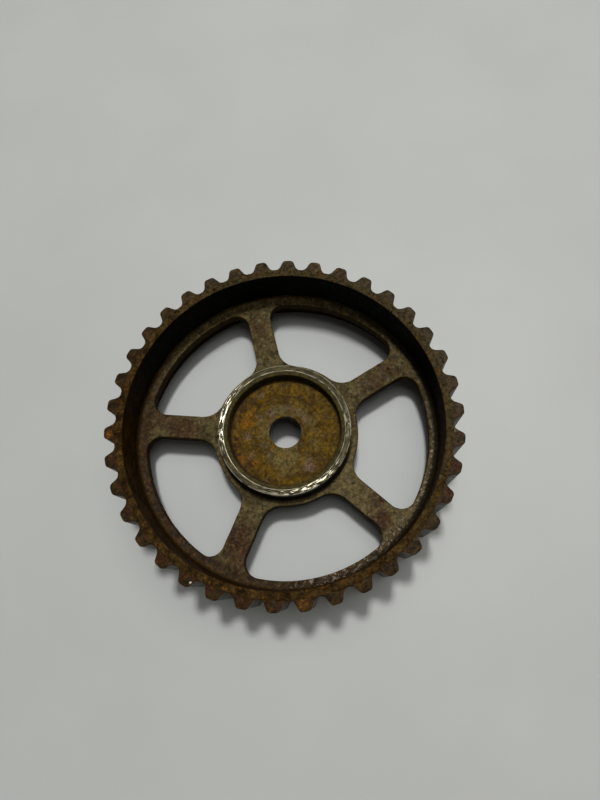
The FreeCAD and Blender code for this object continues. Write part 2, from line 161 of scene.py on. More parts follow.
def polar(reach, turns):
    """Flat points this far from the axis at these angles in radians."""
    return np.stack([reach * np.cos(turns), reach * np.sin(turns)], axis=-1)


def circle(radius, count):
    """Evenly spaced flat points round the axis."""
    return polar(radius, np.linspace(0, 2 * math.pi, count, endpoint=False))


def from_axis(points):
    """Distances from the axis."""
    return np.hypot(points[:, 0], points[:, 1])


def smooth_step(low, high, value):
    """A smooth ramp from 0 at low to 1 at high."""
    t = np.clip((value - low) / (high - low), 0, 1)
    return t * t * (3 - 2 * t)


# ---- mesh building


def add_object(name, data):
    """A new object in the scene."""
    made = bpy.data.objects.new(name, data)
    bpy.context.scene.collection.objects.link(made)
    return made


def make_object(name, points, faces):
    """A smooth mesh object from millimetre points, with its faces turned outwards."""
    mesh = bpy.data.meshes.new(name)
    mesh.from_pydata((np.asarray(points) * MM).tolist(), [], faces)
    mesh.polygons.foreach_set("use_smooth", [True] * len(mesh.polygons))
    if enclosed_volume(mesh) < 0:
        mesh.flip_normals()
    mesh.update()
    return add_object(name, mesh)


def enclosed_volume(mesh):
    """The volume inside a closed mesh, negative when its faces point inwards."""
    shape = bmesh.new()
    shape.from_mesh(mesh)
    volume = shape.calc_volume(signed=True)
    shape.free()
    return volume


def grid_faces(rows, columns):
    """Quads of a grid that closes on itself both ways."""
    faces = []
    for row in range(rows):
        below = (row + 1) % rows
        for column in range(columns):
            right = (column + 1) % columns
            faces.append((row * columns + column, row * columns + right,
                          below * columns + right, below * columns + column))
    return faces


def rounded_section(corners, step):
    """A closed (radius, height) outline from (radius, height, rounding) corners."""
    outline = []
    flat = [np.array(corner[:2], float) for corner in corners]
    for i, (_, _, rounding) in enumerate(corners):
        here, before, after = flat[i], flat[i - 1], flat[(i + 1) % len(flat)]
        back = (before - here) / np.linalg.norm(before - here)
        ahead = (after - here) / np.linalg.norm(after - here)
        half = math.acos(float(np.clip(back @ ahead, -1, 1))) / 2
        if rounding == 0:
            outline.append(here)
            continue
        centre = here + (back + ahead) / np.linalg.norm(back + ahead) * rounding / math.sin(half)
        start, end = here + back * rounding / math.tan(half), here + ahead * rounding / math.tan(half)
        first = math.atan2(*(start - centre)[::-1])
        sweep = (math.atan2(*(end - centre)[::-1]) - first + math.pi) % (2 * math.pi) - math.pi
        pieces = max(3, math.ceil(abs(sweep) / LARGEST_ARC_STEP))
        turns = first + sweep * np.arange(pieces + 1) / pieces
        outline += list(centre + polar(rounding, turns))
    return subdivide(outline, step)


def subdivide(outline, step):
    """Add points along a closed outline so that no stretch is longer than step."""
    fine = []
    for start, end in zip(outline, outline[1:] + outline[:1]):
        pieces = max(1, math.ceil(np.linalg.norm(end - start) / step))
        fine += [start + (end - start) * k / pieces for k in range(pieces)]
    return np.array(fine)


def at_height(flat, height):
    """Flat points lifted to this height."""
    return np.column_stack([flat, np.full(len(flat), height)])


def revolve(name, section, columns):
    """Turn a closed section of (radius, height) points round the axis."""
    rings = [at_height(circle(radius, columns), height) for radius, height in section]
    return make_object(name, np.concatenate(rings), grid_faces(len(section), columns))


def displace(piece, depth):
    """Move every vertex along its normal by depth(points, normals) millimetres."""
    mesh = piece.data
    count = len(mesh.vertices)
    points, normals = np.empty(count * 3), np.empty(count * 3)
    mesh.vertices.foreach_get("co", points)
    mesh.vertices.foreach_get("normal", normals)
    points, normals = points.reshape(-1, 3) / MM, normals.reshape(-1, 3)
    points += normals * depth(points, normals)[:, None]
    mesh.vertices.foreach_set("co", (points * MM).ravel())
    mesh.update()


def sintered_skin(points, grain, pits, seed):
    """Surface depth of rusted sintered steel: fine grain and scattered shallow pits."""
    swell = rough_noise(points, 3.5, 3, seed) - 0.5
    fine = rough_noise(points, 0.9, 2, seed + 11) - 0.5
    pit = smooth_step(0.74, 0.90, rough_noise(points, 1.3, 2, seed + 23))
    return 2 * grain * (0.8 * swell + 0.7 * fine) - pits * pit


# ---- tooth ring


def groove_outline(step):
    """One side of the groove on +Y, from its floor to the middle of the next tooth's tip."""
    floor_centre = np.array([0.0, ROOT_RADIUS + GROOVE_FLOOR_ROUND])
    away = polar(1, -GROOVE_FLANK_LEAN)
    along = np.array([-away[1], away[0]])
    flank_start = floor_centre + away * GROOVE_FLOOR_ROUND
    track = flank_start + away * TOOTH_TIP_ROUND
    reach = TIP_RADIUS - TOOTH_TIP_ROUND
    travel = -track @ along + math.sqrt((track @ along) ** 2 - track @ track + reach**2)
    tip_centre = track + along * travel
    tip_lean = math.atan2(*tip_centre)
    points = arc_points(floor_centre, GROOVE_FLOOR_ROUND, -math.pi / 2, -GROOVE_FLANK_LEAN, step)
    points += arc_points(tip_centre, TOOTH_TIP_ROUND, math.pi - GROOVE_FLANK_LEAN,
                         math.pi / 2 - tip_lean, step)
    tip_middle = math.pi / 2 - math.pi / TOOTH_COUNT
    points += arc_points(np.zeros(2), TIP_RADIUS, math.pi / 2 - tip_lean, tip_middle, step)[1:]
    return np.array(points)


def arc_points(centre, radius, first, last, step):
    """Points along an arc, both ends included."""
    pieces = max(3, math.ceil(abs(last - first) * radius / step))
    turns = first + (last - first) * np.arange(pieces + 1) / pieces
    return list(centre + polar(radius, turns))


def tooth_outline(step):
    """The whole toothed outline, anticlockwise, with a tooth on +X."""
    side = groove_outline(step)
    lean, reach = np.arctan2(side[:, 0], side[:, 1]), from_axis(side)
    lean = np.concatenate([-lean[::-1], lean[1:-1]])
    reach = np.concatenate([reach[::-1], reach[1:-1]])
    pitch = 2 * math.pi / TOOTH_COUNT
    turns = np.concatenate([math.pi / 2 - k * pitch - lean for k in range(TOOTH_COUNT)])
    return polar(np.tile(reach, TOOTH_COUNT), turns)[::-1]


def outline_normals(outline):
    """Outward unit normals of a closed anticlockwise outline."""
    ahead = np.roll(outline, -1, axis=0) - np.roll(outline, 1, axis=0)
    normals = np.stack([ahead[:, 1], -ahead[:, 0]], axis=-1)
    return normals / np.linalg.norm(normals, axis=1, keepdims=True)


def build_tooth_ring():
    """One closed grid: columns follow the tooth outline, rows go round the section."""
    outline = tooth_outline(TOOTH_OUTLINE_STEP)
    inward = -outline_normals(outline)
    bore = polar(SEAT_RADIUS, np.arctan2(outline[:, 1], outline[:, 0]))
    rim = outline + inward * TOOTH_EDGE_ROUND
    face = [bore + (rim - bore) * k / TOOTH_FACE_ROWS for k in range(TOOTH_FACE_ROWS)]
    edge = []
    for k in range(TOOTH_EDGE_ROWS + 1):
        turn = math.radians(90 * k / TOOTH_EDGE_ROWS)
        flat = outline + inward * TOOTH_EDGE_ROUND * (1 - math.sin(turn))
        edge.append((flat, TOOTH_EDGE_ROUND * (1 - math.cos(turn))))
    top, bottom = TEETH_HIGH.z, TEETH_LOW.z
    heights = np.linspace(top - TOOTH_EDGE_ROUND, bottom + TOOTH_EDGE_ROUND, TOOTH_FLANK_ROWS + 2)[1:-1]
    rows = [at_height(flat, top) for flat in face] + [at_height(flat, top - drop) for flat, drop in edge]
    rows += [at_height(outline, height) for height in heights]
    rows += [at_height(flat, bottom + drop) for flat, drop in edge[::-1]]
    rows += [at_height(flat, bottom) for flat in face[::-1]]
    ring = make_object("tooth_ring_worn", np.concatenate(rows), grid_faces(len(rows), len(outline)))
    displace(ring, tooth_wear)
    return ring


def tooth_wear(points, normals):
    """Sintered skin all over, and tooth edges rubbed down unevenly by the belt."""
    skin = sintered_skin(points, grain=0.03, pits=0.07, seed=5)
    from_face = np.minimum(TEETH_HIGH.z - points[:, 2], points[:, 2] - TEETH_LOW.z)
    near_edge = np.exp(-np.clip(from_face, 0, None) / 0.5) * (np.abs(normals[:, 2]) > 0.15)
    rub = smooth_step(0.45, 0.85, rough_noise(points, 2.4, 2, 31))
    return skin - TOOTH_EDGE_WEAR * near_edge * rub


# ---- rim band


def build_rim_band():
    """The smooth band inside the teeth, with a lip a little proud of the tooth faces."""
    rear, front, ring_front = BAND_LOW.z, BAND_HIGH.z, TEETH_HIGH.z
    section = rounded_section([
        (RIM_RADIUS, rear, 0.45),
        (SEAT_RADIUS, rear, 0.15),
        (SEAT_RADIUS, ring_front, 0),
        (LIP_RADIUS, ring_front, 0),
        (LIP_RADIUS, front, 0.2),
        (RIM_RADIUS, front, 0.45),
    ], step=0.5)
    band = revolve("rim_band_worn", section, BAND_COLUMNS)
    displace(band, band_wear)
    return band


def band_wear(points, normals):
    """Sintered skin that never stands proud of the rear face, which rests on the floor."""
    skin = sintered_skin(points, grain=0.04, pits=0.08, seed=41)
    return np.where(normals[:, 2] < -0.3, np.minimum(skin, 0), skin)


# ---- spoke web


def half_window(step):
    """Half of the window beside the +X spoke, from its inner arc's middle to its outer arc's."""
    inner_centre = corner_centre(WINDOW_INNER + WINDOW_INNER_CORNER, WINDOW_INNER_CORNER)
    outer_centre = corner_centre(WINDOW_OUTER - WINDOW_OUTER_CORNER, WINDOW_OUTER_CORNER)
    middle = math.pi / SPOKE_COUNT
    inner_turn = math.atan2(*inner_centre[::-1])
    outer_turn = math.atan2(*outer_centre[::-1])
    points = arc_points(np.zeros(2), WINDOW_INNER, middle, inner_turn, step)
    points += arc_points(inner_centre, WINDOW_INNER_CORNER, inner_turn + math.pi, 1.5 * math.pi, step)[1:]
    flank_start, flank_end = points[-1], np.array([outer_centre[0], SPOKE_HALF_WIDTH])
    pieces = math.ceil((flank_end[0] - flank_start[0]) / step)
    points += [flank_start + (flank_end - flank_start) * k / pieces for k in range(1, pieces)]
    points += arc_points(outer_centre, WINDOW_OUTER_CORNER, -math.pi / 2, outer_turn, step)
    points += arc_points(np.zeros(2), WINDOW_OUTER, outer_turn, middle, step)[1:]
    return np.array(points)


def corner_centre(reach, rounding):
    """Centre of a window corner: `reach` from the axis and tangent to the spoke's flank."""
    rise = SPOKE_HALF_WIDTH + rounding
    return np.array([math.sqrt(reach**2 - rise**2), rise])


def window_outline(step):
    """A whole window beside the +X spoke, anticlockwise."""
    half = half_window(step)
    mirrored = rotated(half * (1, -1), 2 * math.pi / SPOKE_COUNT)
    return np.concatenate([half, mirrored[::-1][1:-1]])


def rotated(points, turn):
    """Flat points turned about the axis."""
    cos, sin = math.cos(turn), math.sin(turn)
    return points @ np.array([[cos, sin], [-sin, cos]])


def window_distance(points):
    """Distance to the nearest window wall: positive in the metal, negative in a window."""
    step = 2 * math.pi / SPOKE_COUNT
    turn = np.arctan2(points[:, 1], points[:, 0])
    folded = np.abs((turn + step / 2) % step - step / 2)
    folded_points = polar(from_axis(points), folded)
    wall = half_window(WALL_SEARCH_STEP)
    starts, ends = wall[:-1], wall[1:]
    along = ends - starts
    offset = folded_points[:, None, :] - starts[None]
    share = np.clip((offset * along).sum(-1) / (along * along).sum(-1), 0, 1)
    gap = offset - share[..., None] * along
    nearest = np.hypot(gap[..., 0], gap[..., 1])
    pick = nearest.argmin(axis=1)
    rows = np.arange(len(points))
    side = along[pick, 0] * gap[rows, pick, 1] - along[pick, 1] * gap[rows, pick, 0]
    return np.where(side > 0, -1, 1) * nearest[rows, pick]


def web_rise(flat, wall_gap):
    """The rise of the web's face: down at window edges, up in a hollow curve to the rim."""
    gap = np.clip(wall_gap, 0, WINDOW_EDGE_ROUND)
    drop = WINDOW_EDGE_ROUND - np.sqrt(WINDOW_EDGE_ROUND**2 - (WINDOW_EDGE_ROUND - gap) ** 2)
    climb = np.clip(from_axis(flat) - (RIM_RADIUS - FLANGE_RISE), 0, FLANGE_RISE)
    return FLANGE_RISE - np.sqrt(FLANGE_RISE**2 - climb**2) - drop


def web_loops():
    """The outlines of the web's face: its rim, its bore and its windows."""
    window = window_outline(WEB_OUTLINE_STEP)
    windows = [rotated(window, 2 * math.pi * k / SPOKE_COUNT) for k in range(SPOKE_COUNT)]
    return [circle(RIM_RADIUS, FLANGE_COLUMNS), circle(NECK_RADIUS, NECK_COLUMNS)] + windows


def web_rings(windows):
    """Rings of points beside the walls."""
    rings = [window + outline_normals(window) * gap for gap in WINDOW_RING_GAPS for window in windows]
    return rings + [circle(RIM_RADIUS - gap, FLANGE_COLUMNS) for gap in FLANGE_RING_GAPS]


def web_fill():
    """A honeycomb of points over the rest of the web's face."""
    columns = np.arange(-RIM_RADIUS, RIM_RADIUS, WEB_FILL_SPACING)
    rows = np.arange(-RIM_RADIUS, RIM_RADIUS, WEB_FILL_SPACING * math.sqrt(3) / 2)
    x, y = np.meshgrid(columns, rows)
    x = x + WEB_FILL_SPACING / 2 * (np.arange(len(rows)) % 2)[:, None]
    fill = np.stack([x.ravel(), y.ravel()], axis=-1)
    reach = from_axis(fill)
    fill = fill[(reach > NECK_RADIUS + FILL_TO_NECK) & (reach < RIM_RADIUS - FILL_TO_FLANGE)]
    return fill[window_distance(fill) > FILL_TO_WINDOW]


def triangulate_web(loops, inside):
    """The face's flat points and triangles, and the numbers of each loop's points."""
    flat = np.concatenate(loops + inside)
    edges, rings, first = [], [], 0
    for loop in loops:
        ring = list(range(first, first + len(loop)))
        edges += zip(ring, ring[1:] + ring[:1])
        rings.append(ring)
        first += len(loop)
    found = delaunay_2d_cdt([Vector(point) for point in flat.tolist()], edges, [], 0, 1e-6)
    flat = np.array([tuple(point) for point in found[0]])
    moved = {old: new for new, sources in enumerate(found[3]) for old in sources}
    rings = [np.array([moved[old] for old in ring]) for ring in rings]
    triangles = np.array(found[2])
    middles = flat[triangles].mean(axis=1)
    reach = from_axis(middles)
    keep = (window_distance(middles) > 0) & (reach > NECK_RADIUS) & (reach < RIM_RADIUS)
    return flat, triangles[keep], rings


def web_wall(front, rear, ring, first_new):
    """The wall along one loop: its new points, numbered from first_new, and its quads."""
    rows, levels = [], [ring]
    for k in range(1, WEB_WALL_ROWS):
        rows.append(front[ring] + (rear[ring] - front[ring]) * k / WEB_WALL_ROWS)
        levels.append(np.arange(first_new, first_new + len(ring)))
        first_new += len(ring)
    levels.append(ring + len(front))
    quads = []
    for upper, lower in zip(levels[:-1], levels[1:]):
        quads += zip(upper, lower, np.roll(lower, -1), np.roll(upper, -1))
    return rows, quads


def build_spoke_web():
    """One triangulated outline for both faces, joined by walls of several rows."""
    loops = web_loops()
    flat, triangles, rings = triangulate_web(loops, web_rings(loops[2:]) + [web_fill()])
    rise = web_rise(flat, window_distance(flat))
    front, rear = at_height(flat, WEB_FRONT + rise), at_height(flat, WEB_REAR - rise)
    points, count = [front, rear], 2 * len(flat)
    faces = list(triangles) + [face[::-1] + len(flat) for face in triangles]
    for ring in rings:
        rows, quads = web_wall(front, rear, ring, count)
        points += rows
        count += len(rows) * len(ring)
        faces += quads if ring is rings[0] else [quad[::-1] for quad in quads]
    faces = [tuple(int(corner) for corner in face) for face in faces]
    web = make_object("spoke_web_worn", np.concatenate(points), faces)
    displace(web, web_wear)
    return web


def web_wear(points, _normals):
    """Sintered skin all over."""
    return sintered_skin(points, grain=0.045, pits=0.10, seed=61)


# ---- hub, collar, dowel


def build_hub():
    """The hub, with the dowel's hole cut in its rear face."""
    underside = RECESS_FLOOR_HEIGHT - HUB_FLOOR_THICKNESS
    section = rounded_section([
        (REGISTER_RADIUS, HUB_LOW.z, 0.4),
        (HUB_HIGH.x, HUB_LOW.z, 0.3),
        (HUB_HIGH.x, WEB_REAR, 0),
        (NECK_RADIUS, WEB_REAR, 0),
        (NECK_RADIUS, HUB_HIGH.z, 0.12),
        (RECESS_MOUTH_RADIUS, RECESS_MOUTH_HEIGHT, 0.25),
        (RECESS_FLOOR_RADIUS, RECESS_FLOOR_HEIGHT, 0.45),
        (BOLT_HOLE_RADIUS, RECESS_FLOOR_HEIGHT, 0.35),
        (BOLT_HOLE_RADIUS, underside, 0.15),
        (REGISTER_RADIUS, underside, 0.2),
    ], step=0.42)
    hub = revolve("hub_worn", section, HUB_COLUMNS)
    displace(hub, hub_wear)
    cut_dowel_hole(hub)
    return hub


def hub_wear(points, normals):
    """Light rust scale, and the shallow seat that the washer pressed into the recess floor."""
    skin = sintered_skin(points, grain=0.025, pits=0.06, seed=81)
    on_floor = (np.abs(points[:, 2] - RECESS_FLOOR_HEIGHT) < 0.1) & (normals[:, 2] > 0.8)
    seat = smooth_step(WASHER_MARK_RADIUS + 0.25, WASHER_MARK_RADIUS - 0.05, from_axis(points))
    return skin - on_floor * WASHER_SEAT_DEPTH * seat


def cut_dowel_hole(hub):
    """Bore the hole that the dowel's shank is pressed into."""
    radius = DOWEL_RADIUS + DOWEL_HOLE_GAP
    bottom, top = HUB_LOW.z - 1.0, DOWEL_HIGH.z + 0.3
    corners = [(0.0, bottom, 0), (radius, bottom, 0), (radius, top, 0), (0.0, top, 0)]
    profile = rounded_section(corners, step=2.0)
    profile = profile[profile[:, 0] > 0]
    cutter = turn_about_dowel("dowel_hole_cutter", profile, CUTTER_COLUMNS)
    cut = hub.modifiers.new("dowel_hole", "BOOLEAN")
    cut.operation = "DIFFERENCE"
    cut.solver = "EXACT"
    cut.object = cutter
    apply_modifiers(hub)
    bpy.data.objects.remove(cutter)


def turn_about_dowel(name, profile, columns):
    """Turn an open profile about the dowel's middle line, with a fan at both ends."""
    rings = [at_height(DOWEL_CENTRE + circle(radius, columns), height) for radius, height in profile]
    ends = [(*DOWEL_CENTRE, profile[0][1]), (*DOWEL_CENTRE, profile[-1][1])]
    first_end = len(rings) * columns
    last = first_end - columns
    faces = grid_faces(len(rings), columns)[:last]
    for column in range(columns):
        right = (column + 1) % columns
        faces += [(first_end, right, column), (first_end + 1, last + column, last + right)]
    return make_object(name, np.concatenate(rings + [np.array(ends)]), faces)


def apply_modifiers(piece):
    """Replace the piece's mesh by what its modifiers make of it."""
    depsgraph = bpy.context.evaluated_depsgraph_get()
    made = bpy.data.meshes.new_from_object(piece.evaluated_get(depsgraph))
    piece.modifiers.clear()
    piece.data = made
    made.polygons.foreach_set("use_smooth", [True] * len(made.polygons))


def build_hub_collar():
    """The ring round the hub's mouth."""
    section = rounded_section([
        (NECK_RADIUS, COLLAR_LOW.z, 0),
        (COLLAR_RADIUS, COLLAR_LOW.z, 0),
        (COLLAR_RADIUS, COLLAR_HIGH.z, 0.38),
        (NECK_RADIUS, COLLAR_HIGH.z, 0.28),
    ], step=0.25)
    collar = revolve("hub_collar_worn", section, COLLAR_COLUMNS)
    displace(collar, collar_wear)
    return collar


def collar_wear(points, _normals):
    """Fine grain, and small dents along both edges of the front."""
    near_top = smooth_step(COLLAR_HIGH.z - 1.2, COLLAR_HIGH.z - 0.2, points[:, 2])
    from_middle = np.abs(from_axis(points) - COLLAR_MIDDLE) / COLLAR_HALF_WIDTH
    at_edge = near_top * smooth_step(0.35, 0.95, from_middle)
    dent = smooth_step(0.55, 0.82, rough_noise(points, 1.5, 2, 91))
    grain = rough_noise(points, 0.7, 2, 97) - 0.5
    return COLLAR_GRAIN * grain - COLLAR_DENTS * at_edge * dent


def build_dowel():
    """A shank pressed into the hub, and a thinner nose that stands out at the rear."""
    nose, shank = DOWEL_NOSE_RADIUS, DOWEL_RADIUS
    bottom, step, top = DOWEL_LOW.z, HUB_LOW.z, DOWEL_HIGH.z
    profile = [
        (0.4 * nose, bottom),
        (nose - DOWEL_CHAMFER, bottom),
        (nose - 0.1, bottom + DOWEL_CHAMFER - 0.1),
        (nose, bottom + DOWEL_CHAMFER + 0.1),
        (nose, step - 0.05),
        (nose + 0.03, step),
        (shank - 0.05, step),
        (shank, step + 0.05),
        (shank, top - DOWEL_CHAMFER),
        (shank - DOWEL_CHAMFER, top),
        (0.4 * shank, top),
    ]
    return turn_about_dowel("locating_dowel_worn", profile, DOWEL_COLUMNS)


# ---- materials


def linear_colour(screen):
    """Linear numbers for a colour in 0 to 255 screen values."""
    shares = [value / 255 for value in screen]
    return (*[c / 12.92 if c <= 0.04045 else ((c + 0.055) / 1.055) ** 2.4 for c in shares], 1.0)


class NodeTree:
    """Short calls for building a node tree, with colours in 0 to 255 screen values."""

    def __init__(self, tree):
        self.tree = tree

    def add(self, kind, operation=None):
        """A new node, set to this operation if it has one."""
        node = self.tree.nodes.new(kind)
        if operation is not None:
            node.operation = operation
        return node

    def put(self, target, value):
        """Feed an input with a socket or a plain value."""
        if isinstance(value, bpy.types.NodeSocket):
            self.tree.links.new(value, target)
        elif target.type == "RGBA":
            target.default_value = linear_colour(value)
        else:
            target.default_value = value

    def feed(self, node, feeds):
        """Feed a node's inputs by name."""
        for name, value in feeds.items():
            self.put(node.inputs[name], value)
        return node

    def split(self, vector):
        """The x, y and z of a vector."""
        return self.feed(self.add("ShaderNodeSeparateXYZ"), {"Vector": vector}).outputs

    def vector_math(self, operation, first, second):
        """A vector operation's result: a number for a distance or a dot product."""
        node = self.add("ShaderNodeVectorMath", operation)
        self.put(node.inputs[0], first)
        self.put(node.inputs["Scale" if operation == "SCALE" else 1], second)
        return node.outputs["Value" if operation in ("DISTANCE", "DOT_PRODUCT") else "Vector"]

    def math(self, operation, first, second=0.0, third=0.0):
        """The result of an operation on numbers."""
        node = self.add("ShaderNodeMath", operation)
        for target, value in zip(node.inputs, (first, second, third)):
            self.put(target, value)
        return node.outputs[0]

    def times(self, first, second):
        """The product, or the mask that shows where both masks do."""
        return self.math("MULTIPLY", first, second)

    def remap(self, value, low, high, to_low=0.0, to_high=1.0):
        """Smoothly map low..high to to_low..to_high, held at both ends."""
        node = self.add("ShaderNodeMapRange")
        node.interpolation_type = "SMOOTHSTEP"
        for target, number in zip(node.inputs, (value, low, high, to_low, to_high)):
            self.put(target, number)
        return node.outputs[0]

    def mix(self, share, first, second):
        """Blend two colours, whose sockets on this node go by number."""
        node = self.add("ShaderNodeMix")
        node.data_type = "RGBA"
        for socket, value in ((0, share), (6, first), (7, second)):
            self.put(node.inputs[socket], value)
        return node.outputs[2]


class MaterialTree(NodeTree):
    """The node tree of a new material, with positions in millimetres."""

    def __init__(self, name):
        self.material = bpy.data.materials.new(name)
        self.material.use_nodes = True
        super().__init__(self.material.node_tree)
        self.tree.nodes.clear()
        place = self.add("ShaderNodeTexCoord").outputs["Object"]
        self.position = self.vector_math("SCALE", place, 1 / MM)
        self.flat = self.vector_math("MULTIPLY", self.position, (1, 1, 0))
        self.x, self.y, self.z = self.split(self.position)
        squares = self.math("ADD", self.times(self.x, self.x), self.times(self.y, self.y))
        self.radius = self.math("SQRT", squares)
        geometry = self.add("ShaderNodeNewGeometry").outputs
        self.pointiness = geometry["Pointiness"]
        self.facing_up = self.split(geometry["Normal"])[2]

    def noise_at(self, place, size, detail=4, roughness=0.5):
        """Noise from 0 to 1 at a place, with features about `size` across."""
        node = self.add("ShaderNodeTexNoise")
        feeds = {"Vector": place, "Scale": 1 / size, "Detail": detail, "Roughness": roughness}
        return self.feed(node, feeds).outputs["Fac"]

    def noise(self, size, detail, roughness, seed, stretch=None):
        """Noise from 0 to 1 with features about `size` millimetres across."""
        place = self.vector_math("ADD", self.position, (seed * 17.3, seed * -9.1, seed * 5.7))
        if stretch is not None:
            place = self.vector_math("MULTIPLY", place, stretch)
        return self.noise_at(place, size, detail, roughness)

    def turned_noise(self, length, width, seed):
        """Noise drawn out round the collar: `length` by `width` millimetres."""
        inverse = self.math("DIVIDE", TURNED_NOISE_RADIUS * width / length, self.radius)
        around = self.vector_math("SCALE", self.flat, inverse)
        across = self.feed(self.add("ShaderNodeCombineXYZ"), {"Z": self.math("ADD", self.radius, self.z)})
        place = self.vector_math("ADD", around, across.outputs[0])
        return self.noise_at(self.vector_math("ADD", place, (seed * 3.7, seed * 1.9, 0)), width)

    def towards(self, angle, low, high):
        """From 0 on the far side to 1 on the side at this angle."""
        turn = math.radians(angle)
        across = self.math("ADD", self.times(self.x, math.cos(turn)), self.times(self.y, math.sin(turn)))
        return self.remap(self.math("DIVIDE", across, self.radius), low, high)

    def bump(self, height, distance, under=None):
        """Bump from a height of 0 to 1 that stands for `distance` millimetres."""
        feeds = {"Strength": 1.0, "Distance": distance * MM, "Height": height}
        if under is not None:
            feeds["Normal"] = under
        return self.feed(self.add("ShaderNodeBump"), feeds).outputs[0]

    def finish(self, colour, roughness, metallic, normal=None, specular=0.5):
        """Feed the shader and return the finished material."""
        feeds = {"Base Color": colour, "Roughness": roughness, "Metallic": metallic,
                 "Specular IOR Level": specular}
        if normal is not None:
            feeds["Normal"] = normal
        shader = self.feed(self.add("ShaderNodeBsdfPrincipled"), feeds)
        self.put(self.add("ShaderNodeOutputMaterial").inputs[0], shader.outputs[0])
        return self.material


def blot(tree, reach, angle, size, seed):
    """A ragged patch of about this radius, `reach` from the axis at this angle."""
    turn = math.radians(angle)
    centre = (reach * math.cos(turn), reach * math.sin(turn), 0.0)
    away = tree.vector_math("DISTANCE", tree.flat, centre)
    ragged = tree.math("MULTIPLY_ADD", tree.noise(size * 0.7, 6, 0.75, seed), size * 2.6, away)
    inside = tree.remap(ragged, size * 2.5, size * 1.7)
    return tree.times(inside, tree.remap(tree.noise(0.9, 5, 0.7, seed + 3), 0.38, 0.5))


def speckle(tree, size, cover, seed, softness=0.06):
    """Ragged specks about `size` across that cover about this share of the surface."""
    threshold = 0.5 + 0.28 * (0.5 - cover)
    return tree.remap(tree.noise(size, 5, 0.6, seed), threshold, threshold + softness)


def dots(tree, spacing, size, share, seed):
    """Small roundish pits in about this share of cells that are `spacing` wide."""
    place = tree.vector_math("ADD", tree.position, (seed * 3.1, seed * 7.7, 0.0))
    node = tree.feed(tree.add("ShaderNodeTexVoronoi"), {"Vector": place, "Scale": 1 / spacing})
    wobble = tree.noise(size, 2, 0.5, seed)
    away = tree.math("MULTIPLY_ADD", wobble, size / spacing, node.outputs["Distance"])
    tone = tree.feed(tree.add("ShaderNodeSeparateColor"), {"Color": node.outputs["Color"]})
    chosen = tree.math("LESS_THAN", tone.outputs[0], share)
    return tree.times(chosen, tree.remap(away, size / spacing * 1.2, size / spacing * 0.8))


def worn_edges(tree, low, high, size, seed):
    """Raised edges, rubbed in patches: low and high are pointiness, where 0.5 is flat."""
    patches = tree.remap(tree.noise(size, 3, 0.5, seed), 0.42, 0.6)
    return tree.times(tree.remap(tree.pointiness, low, high), patches)


def mottled(tree, pattern, dark, light, low=0.35, high=0.65):
    """Two colours in patches that follow a noise pattern."""
    return tree.mix(tree.remap(pattern, low, high), dark, light)


def paint(tree, colour, *coats):
    """Lay (mask, tint, strength) coats over a colour."""
    for mask, tint, strength in coats:
        colour = tree.mix(tree.times(mask, strength), colour, tint)
    return colour


def grime_and_grain(tree, colour, depth, seed):
    """Fine light and dark grain over a rusty surface."""
    grain = tree.remap(tree.noise(1.1, 7, 0.75, seed), 0.35, 0.65, 1 - depth, 1 + depth)
    fine = tree.remap(tree.noise(0.5, 3, 0.7, seed + 0.5), 0.35, 0.65, 1 - depth / 2, 1 + depth / 2)
    return tree.vector_math("SCALE", colour, tree.times(grain, fine))


def patchy_roughness(tree, size, seed, low, high):
    """Roughness that changes in patches."""
    return tree.remap(tree.noise(size, 4, 0.6, seed), 0.3, 0.7, low, high)


def surface_bump(tree, seed, coarse=0.10, fine=0.05):
    """Lumps and finer grain, as deep as this in millimetres."""
    lumps = tree.bump(tree.noise(1.6, 4, 0.6, seed), coarse)
    return tree.bump(tree.noise(0.45, 5, 0.7, seed + 1), fine, under=lumps)


# Spots on the tooth faces: millimetres from the axis, angle, radius, colour, strength.
SPOTS_ON_TEETH = (
    (55.2, 152, 1.5, (124, 76, 10), 0.6),
    (55.4, 166, 1.3, (124, 72, 10), 0.7),
    (54.8, 246, 2.0, (116, 78, 12), 0.5),
    (55.1, 210.3, 0.4, (215, 205, 180), 0.9),
)


def tooth_face_colour(tree):
    """Brown rust: greyer on one side of the pulley, orange and red on the other."""
    base = mottled(tree, tree.noise(3.4, 5, 0.6, 1), (36, 24, 8), (62, 45, 18), 0.36, 0.64)
    red_side = tree.times(tree.towards(190, 0.0, 1.0), speckle(tree, 2.6, 0.5, 2))
    red_arc = tree.times(tree.towards(315, 0.92, 1.0), speckle(tree, 2.6, 0.6, 19))
    colour = paint(
        tree, base,
        (tree.towards(15, -0.4, 1.0), (67, 57, 40), 0.75),
        (red_side, (56, 28, 8), 0.75),
        (red_arc, (66, 37, 23), 0.6),
        (speckle(tree, 1.7, 0.2, 3), (84, 56, 12), 0.45),
        (speckle(tree, 1.1, 0.2, 4), (20, 13, 7), 0.85),
    )
    for seed, (reach, angle, size, tint, strength) in enumerate(SPOTS_ON_TEETH, start=5):
        colour = paint(tree, colour, (blot(tree, reach, angle, size, seed), tint, strength))
    return grime_and_grain(tree, colour, 0.55, 9)


